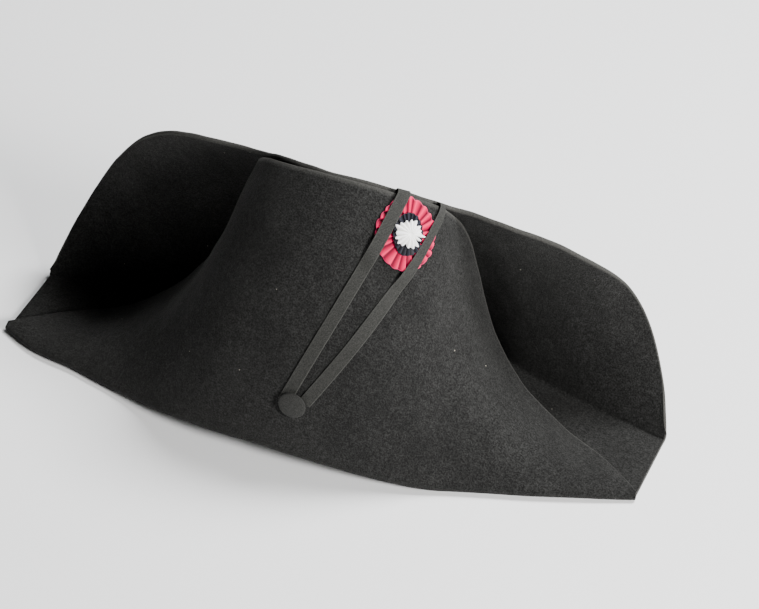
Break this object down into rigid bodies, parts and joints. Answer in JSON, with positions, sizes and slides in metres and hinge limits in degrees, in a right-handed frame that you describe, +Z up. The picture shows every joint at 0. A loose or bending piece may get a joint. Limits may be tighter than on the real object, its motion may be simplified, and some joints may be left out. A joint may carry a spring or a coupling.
{
  "type": "bicorne hat",
  "caption": "Black felt hat with its wide brim folded up at the front and the back, a round crown inside, ribbon straps, a covered button and a pleated tricolour cockade.",
  "frame": {"origin": "middle of the base, on the surface that the hat stands on", "axes": "+X along the hat's long axis towards the cockade's side, -Y towards the front flap with the cockade, +Z up"},
  "size_m": [0.4594, 0.2026, 0.1876],
  "materials": {
    "black_felt": "fuzzy wool felt",
    "grosgrain_strap": "flat ribbed ribbon",
    "button_cloth": "woven cloth cover",
    "red_ribbon": "pleated satin ribbon",
    "navy_ribbon": "pleated satin ribbon",
    "white_ribbon": "gathered cotton ribbon"
  },
  "bodies": {
    "root": {"felt_body": "black_felt", "loop_strap_left": "grosgrain_strap", "loop_strap_right": "grosgrain_strap", "cover_button": "button_cloth", "cockade_red_ruffle": "red_ribbon", "cockade_blue_ruffle": "navy_ribbon", "cockade_white_rosette": "white_ribbon"}
  },
  "joints": []
}
